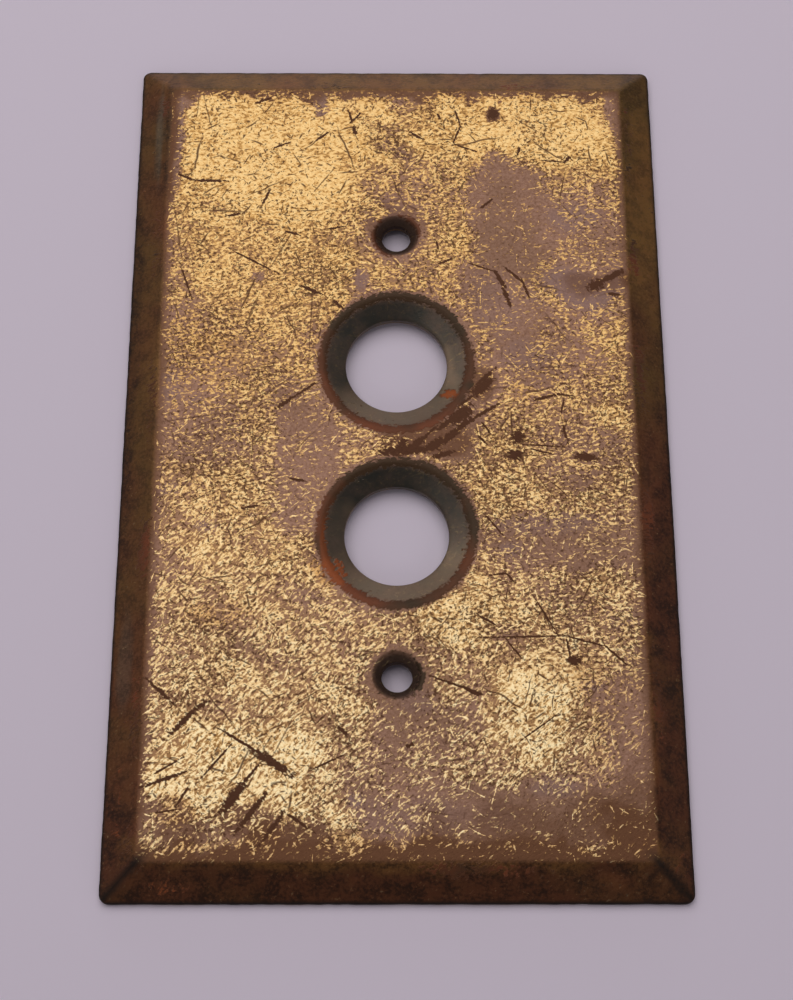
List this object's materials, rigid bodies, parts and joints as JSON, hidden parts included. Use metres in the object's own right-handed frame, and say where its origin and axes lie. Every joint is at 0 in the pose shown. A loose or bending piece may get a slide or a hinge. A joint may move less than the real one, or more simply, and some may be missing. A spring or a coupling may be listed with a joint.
{
  "type": "push-button switch cover plate",
  "caption": "Rectangular pressed-metal wall plate with sloped, mitred borders, dished button openings down its centre line and a dished screw hole above and below them.",
  "frame": {"origin": "middle of the plate's back, on the plane of the edge that rests on the wall", "axes": "+X across the plate, +Y along its length and up when it is fitted, +Z out of its face"},
  "size_m": [0.0698, 0.1142, 0.0032],
  "materials": {
    "aged_brass": "satin brass sheet, tarnished brown in patches, pitted and scratched"
  },
  "bodies": {
    "root": {"cover_plate": "aged_brass"}
  },
  "joints": []
}
